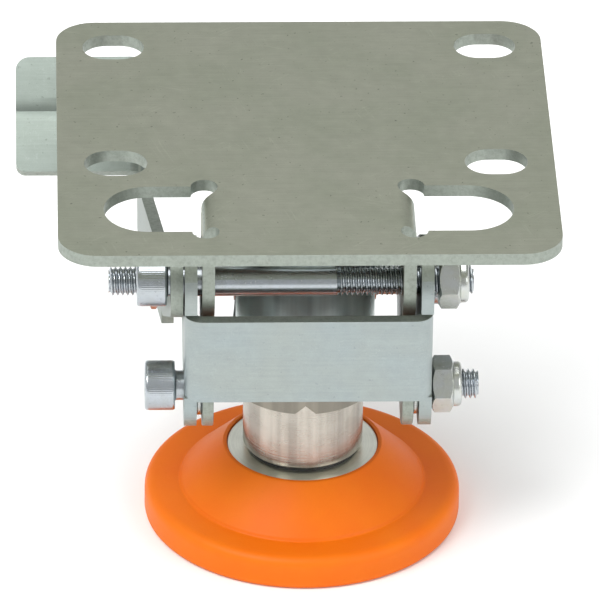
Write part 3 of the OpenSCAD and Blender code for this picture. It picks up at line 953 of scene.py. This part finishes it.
@dataclass
class LockNut:
    """Locking nut with chamfered corners, a crimped collar and a nylon ring."""

    node: str
    body: str
    way: int
    flats: float = 10.0 * MM
    collar_height: float = 1.8 * MM
    collar_radius: float = 4.55 * MM
    bore: float = 3.03 * MM
    pocket: float = 3.8 * MM
    mouth: float = 3.45 * MM
    easing: float = 0.12 * MM
    roll: float = 0.8 * MM

    def outline(self, height: float) -> list[Ring]:
        """Rings from the bore's seat end round to the pocket.

        Args:
            height: the nut's height.

        Returns:
            The rings in order.
        """
        hex_height = height - self.collar_height
        corner = self.flats / 2 / math.cos(math.pi / 6)
        rise = (corner - self.flats / 2 + self.easing) * math.tan(math.radians(32))
        face = self.flats / 2 - self.easing
        rings = [Ring(self.bore, 0.35 * MM), Ring(self.bore + 0.45 * MM, 0.0), Ring(face, 0.0)]
        for step in range(1, 8):
            share = step / 7
            rings.append(Ring(face + (corner + 0.02 * MM - face) * share, rise * share,
                              Section.HEX, self.flats))
        for step in range(7, 0, -1):
            share = step / 7
            rings.append(Ring(face + (corner + 0.02 * MM - face) * share,
                              hex_height - rise * share, Section.HEX, self.flats))
        rings += [Ring(self.collar_radius + 0.25 * MM, hex_height),
                  Ring(self.collar_radius, hex_height + 0.2 * MM)]
        for step in range(7):
            angle = math.pi / 2 * step / 6
            rings.append(Ring(self.collar_radius - self.roll * (1 - math.cos(angle)),
                              height - self.roll * (1 - math.sin(angle))))
        rings += [Ring(self.mouth, height - 0.05 * MM), Ring(self.mouth, height - 0.3 * MM),
                  Ring(self.pocket, height - 0.35 * MM), Ring(self.pocket, height - 1.9 * MM),
                  Ring(self.bore, height - 1.9 * MM)]
        return rings

    def build(self, finishes: Finishes) -> None:
        """Builds the nut and its nylon ring."""
        low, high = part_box(self.node)
        height = high.x - low.x
        seat = low.x if self.way > 0 else high.x
        stand = along_x(seat, self.node, self.way)
        shells = Shells(self.node.replace("nut", "locknut"), stand)
        shells.lathe(self.outline(height), 144, loop=True)
        settle(shells.piece([finishes.nut], 28.0), self.body, "nut_zinc", self.node)
        ring = Shells(self.node.replace("nut", "nylon_ring"), stand)
        low_z, high_z = height - 1.88 * MM, height - 0.36 * MM
        outline = rounded([(self.bore, low_z), (self.pocket - 0.02 * MM, low_z),
                           (self.pocket - 0.02 * MM, high_z), (self.bore, high_z), (self.bore, low_z)],
                          [0, 0.1 * MM, 0.2 * MM, 0.25 * MM, 0], 3)
        ring.lathe([Ring(r, h) for r, h in outline[:-1]], 96, loop=True)
        settle(ring.piece([finishes.nylon]), self.body, "nylon", self.node + "_insert")


@dataclass
class TopPlate:
    """Slotted top plate with its two folded ears."""

    thickness: float = 2.5 * MM
    bend_depth: float = 6.0 * MM

    def is_edge(self, centre: Vector, normal: Vector) -> bool:
        """True on a sheared edge of the plate or of an ear."""
        if centre.z > -self.thickness - 0.05 * MM:
            return abs(normal.z) < FACING
        if centre.z > -self.bend_depth:
            return abs(normal.y) > FACING
        return abs(normal.x) < FACING

    def build(self, finishes: Finishes) -> None:
        """Builds the plate."""
        sheet = BrokenEdges("top_plate", [finishes.plate, finishes.cut], 0.3 * MM, 3,
                            edge_rule=self.is_edge)
        settle(sheet.piece("plate_with_ears"), "base", "plate_zinc", "top_plate")


@dataclass
class GuideTube:
    """Guide tube with its notched rim, and the weld that holds it to the plate."""

    ripple: float = 0.16 * MM
    ripples: int = 46
    weld: float = 1.8 * MM

    def build(self, finishes: Finishes) -> None:
        """Builds the tube and its weld bead."""
        tube = BrokenEdges("guide_tube", [finishes.tube], 0.15 * MM, 2)
        settle(tube.piece("notched_tube"), "base", "dark_steel", "guide_tube")
        low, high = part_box("guide_tube")
        outer = (high.x - low.x) / 2
        inner = outer - self.weld
        top = high.z
        shells = Shells("weld_bead", along_z("guide_tube"))
        rings = [Ring(inner - 0.05 * MM, top)]
        for step in range(9):
            angle = math.pi / 2 * step / 8
            swell = self.weld * (1.0 - 0.16 * math.sin(2 * angle))
            rings.append(Ring(outer - swell * math.sin(angle),
                              top - swell * (1 - math.cos(angle)), Section.TOOTHED,
                              self.ripple * math.sin(2 * angle)))
        shells.lathe(rings, 4 * self.ripples, loop=True, teeth=self.ripples)
        settle(shells.piece([finishes.tube]), "base", "dark_steel")


@dataclass
class Carriage:
    """Bracket, cheeks, washers and sleeve that drop together."""

    bend_zone: float = 3.6 * MM

    def is_bracket_edge(self, centre: Vector, normal: Vector) -> bool:
        """True on a sheared edge of the bracket."""
        low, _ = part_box("u_bracket")
        if centre.y < low.y + self.bend_zone:
            return abs(normal.z) > FACING
        return abs(normal.x) < FACING

    @staticmethod
    def is_cheek_edge(_centre: Vector, normal: Vector) -> bool:
        """True on a sheared edge of a cheek."""
        return abs(normal.x) < FACING

    def build(self, finishes: Finishes) -> None:
        """Builds the carriage's sheet and turned pieces."""
        bracket = BrokenEdges("u_bracket", [finishes.bracket, finishes.cut], 0.3 * MM, 3,
                              edge_rule=self.is_bracket_edge)
        settle(bracket.piece("front_bracket"), "carriage", "bracket_zinc", "u_bracket")
        for node in ("left_cheek", "right_cheek"):
            cheek = BrokenEdges(node, [finishes.bracket, finishes.cut], 0.25 * MM, 2,
                                edge_rule=self.is_cheek_edge)
            settle(cheek.piece(node + "_plate"), "carriage", "bracket_zinc", node)
        plain = (("cheek_washers", "flat_washers", finishes.nut, "nut_zinc"),
                 ("cross_sleeve", "pressed_sleeve", finishes.sleeve, "dark_steel"),
                 ("spring_seat", "spring_cup", finishes.seat, "turned_steel"))
        for node, name, finish, slot in plain:
            settle(BrokenEdges(node, [finish], 0.15 * MM, 2).piece(name), "carriage", slot, node)


@dataclass
class PlungerPack:
    """Plunger, its spring and the screw that the foot turns on."""

    wire: float = 2.2 * MM
    turns: float = 6.0
    travel: float = 5.0 * MM

    def build(self, finishes: Finishes) -> None:
        """Builds the plunger, the spring and the foot screw."""
        bar = BrokenEdges("plunger", [finishes.plunger], 0.15 * MM, 2)
        settle(bar.piece("plunger_bar"), "plunger", "brushed_plunger", "plunger")
        screw = BrokenEdges("foot_screw", [finishes.screw], 0.15 * MM, 2)
        settle(screw.piece("foot_bolt"), "plunger", "blue_zinc", "foot_screw")
        low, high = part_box("plunger_spring")
        radius = (high.x - low.x) / 2 - self.wire / 2
        shells = Shells("coil_spring", along_z("plunger"))
        shells.coil(radius - 0.02 * MM, self.wire, low.z, high.z, self.turns)
        spring = settle(shells.piece([finishes.spring]), "carriage", "spring_steel", "plunger_spring")
        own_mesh(spring)

    @staticmethod
    def middle() -> Vector:
        """The column's middle."""
        low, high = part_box("plunger")
        return (low + high) / 2


@dataclass
class SwivelFoot:
    """Orange soft foot on its steel core, under a black slip washer."""

    cone_radius: float = 25.2 * MM
    cone_foot: float = 7.0 * MM
    lip: float = 0.4 * MM
    lip_width: float = 0.7 * MM
    pocket: float = 9.5 * MM

    def pad_outline(self) -> tuple[list[Point], list[float]]:
        """Outline of the foot's section and the rounding of each corner."""
        low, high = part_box("foot_pad")
        core_low, core_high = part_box("foot_core")
        outer = (high.x - low.x) / 2
        core = (core_high.x - core_low.x) / 2
        rim = low.z + self.cone_foot
        points = [(core, core_low.z), (core, high.z), (core + self.lip_width, high.z),
                  (self.cone_radius - 0.4 * MM, rim + 0.55 * MM), (self.cone_radius, rim - 0.12 * MM),
                  (outer, rim - 0.02 * MM), (outer, low.z), (self.pocket, low.z),
                  (self.pocket, core_low.z), (core, core_low.z)]
        radii = [0, 0.1, 0.5, 0.7, 0.6, 2.4, 1.2, 0.5, 0.3, 0]
        return points, [r * MM for r in radii]

    def build(self, finishes: Finishes) -> None:
        """Builds the foot, its core and its washer."""
        stand = along_z("foot_pad")
        shells = Shells("soft_foot", stand)
        outline = rounded(*self.pad_outline(), 8)
        shells.lathe([Ring(r, h) for r, h in outline[:-1]], 192, loop=True)
        settle(shells.piece([finishes.orange], 40.0), "foot", "orange_pad", "foot_pad")
        core = BrokenEdges("foot_core", [finishes.core], 0.3 * MM, 3)
        settle(core.piece("core_ring"), "foot", "turned_steel", "foot_core")
        washer = BrokenEdges("slip_washer", [finishes.washer], 0.1 * MM, 2)
        settle(washer.piece("slip_ring"), "foot", "black_washer", "slip_washer")


@dataclass
class PedalLever:
    """Pedal lever bent from one strip, its pedal on a slope."""

    tilt: float = math.radians(40.0)
    pedal_start: float = -33.05 * MM
    fold_end: float = -35.5 * MM

    def is_edge(self, centre: Vector, normal: Vector) -> bool:
        """True on a sheared edge of the lever."""
        cos, sin = math.cos(self.tilt), math.sin(self.tilt)
        if centre.x < self.fold_end:
            return abs(normal.z * cos - normal.y * sin) < FACING
        if centre.x < self.pedal_start:
            return abs(normal.y * cos + normal.z * sin) > FACING
        return abs(normal.x) < FACING

    def build(self, finishes: Finishes) -> None:
        """Builds the lever."""
        sheet = BrokenEdges("pedal_lever", [finishes.lever, finishes.cut], 0.35 * MM, 3,
                            edge_rule=self.is_edge)
        settle(sheet.piece("bent_lever"), "lever", "lever_zinc", "pedal_lever")


@dataclass
class Studio:
    """Floor, soft light and camera."""

    location: Triple = (-0.054446, -1.465936, 0.817921)
    right: Triple = (0.99947482, -0.03014093, 0.01190034)
    up: Triple = (0.00505358, 0.50771986, 0.8615074)
    forward: Triple = (0.03200867, 0.86099481, -0.50760553)
    lens: float = 495.3
    sky: Colour = (0.60, 0.61, 0.61)
    floor_size: float = 6.0

    def camera(self) -> None:
        """Adds the camera."""
        data = bpy.data.cameras.new("camera")
        data.lens = self.lens
        data.sensor_width = 36.0
        made = bpy.data.objects.new("camera", data)
        bpy.context.scene.collection.objects.link(made)
        back = [-v for v in self.forward]
        made.matrix_world = Matrix((
            (self.right[0], self.up[0], back[0], self.location[0]),
            (self.right[1], self.up[1], back[1], self.location[1]),
            (self.right[2], self.up[2], back[2], self.location[2]),
            (0.0, 0.0, 0.0, 1.0)))
        bpy.context.scene.camera = made

    def floor(self) -> None:
        """Adds the pale floor under the foot."""
        low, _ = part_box("foot_pad")
        half = self.floor_size
        data = bpy.data.meshes.new("floor")
        level = low.z - 0.02 * MM
        corners = [(-half, -half, level), (half, -half, level), (half, half, level),
                   (-half, half, level)]
        data.from_pydata(corners, [], [(0, 1, 2, 3)])
        made = bpy.data.objects.new("floor", data)
        bpy.context.scene.collection.objects.link(made)
        shade = Shade("pale_floor")
        shade.set("Base Color", (0.93, 0.93, 0.93, 1.0))
        shade.set("Roughness", 0.9)
        data.materials.append(shade.material)

    @staticmethod
    def lamp(name: str, at: Triple, size: float, power: float) -> None:
        """Adds one soft lamp that points at the object.

        Args:
            name: the lamp's name.
            at: its place.
            size: its side.
            power: its power in watts.
        """
        data = bpy.data.lights.new(name, "AREA")
        data.size = size
        data.energy = power
        made = bpy.data.objects.new(name, data)
        made.location = at
        aim = Vector((0.0, 0.0, -0.03)) - Vector(at)
        made.rotation_euler = aim.to_track_quat("-Z", "Y").to_euler()
        bpy.context.scene.collection.objects.link(made)

    def build(self) -> None:
        """Builds the stage."""
        self.camera()
        self.floor()
        world = bpy.data.worlds.new("studio")
        world.use_nodes = True
        world.node_tree.nodes["Background"].inputs[0].default_value = (*self.sky, 1.0)
        bpy.context.scene.world = world
        self.lamp("key", (-0.9, -0.8, 1.6), 1.0, 26.0)
        self.lamp("fill", (1.4, -1.2, 0.9), 1.2, 12.0)
        self.lamp("top", (0.0, 0.3, 1.9), 1.6, 22.0)
        bpy.context.scene.view_settings.view_transform = "Standard"


def main() -> None:
    """Builds every sub-assembly in order."""
    logging.basicConfig(level=logging.INFO, format="%(name)s: %(message)s")
    Studio().build()
    finishes = Finishes()
    TopPlate().build(finishes)
    GuideTube().build(finishes)
    Screw("pivot_screw", "base", 1, 27.7 * MM).build(finishes)
    LockNut("pivot_nut", "base", 1).build(finishes)
    Carriage().build(finishes)
    Screw("lower_screw", "carriage", 1, 18.0 * MM).build(finishes)
    LockNut("lower_nut", "carriage", 1).build(finishes)
    Screw("cross_screw", "carriage", -1, 18.0 * MM).build(finishes)
    LockNut("cross_nut", "carriage", -1).build(finishes)
    PlungerPack().build(finishes)
    SwivelFoot().build(finishes)
    PedalLever().build(finishes)


if __name__ == "__main__":
    main()
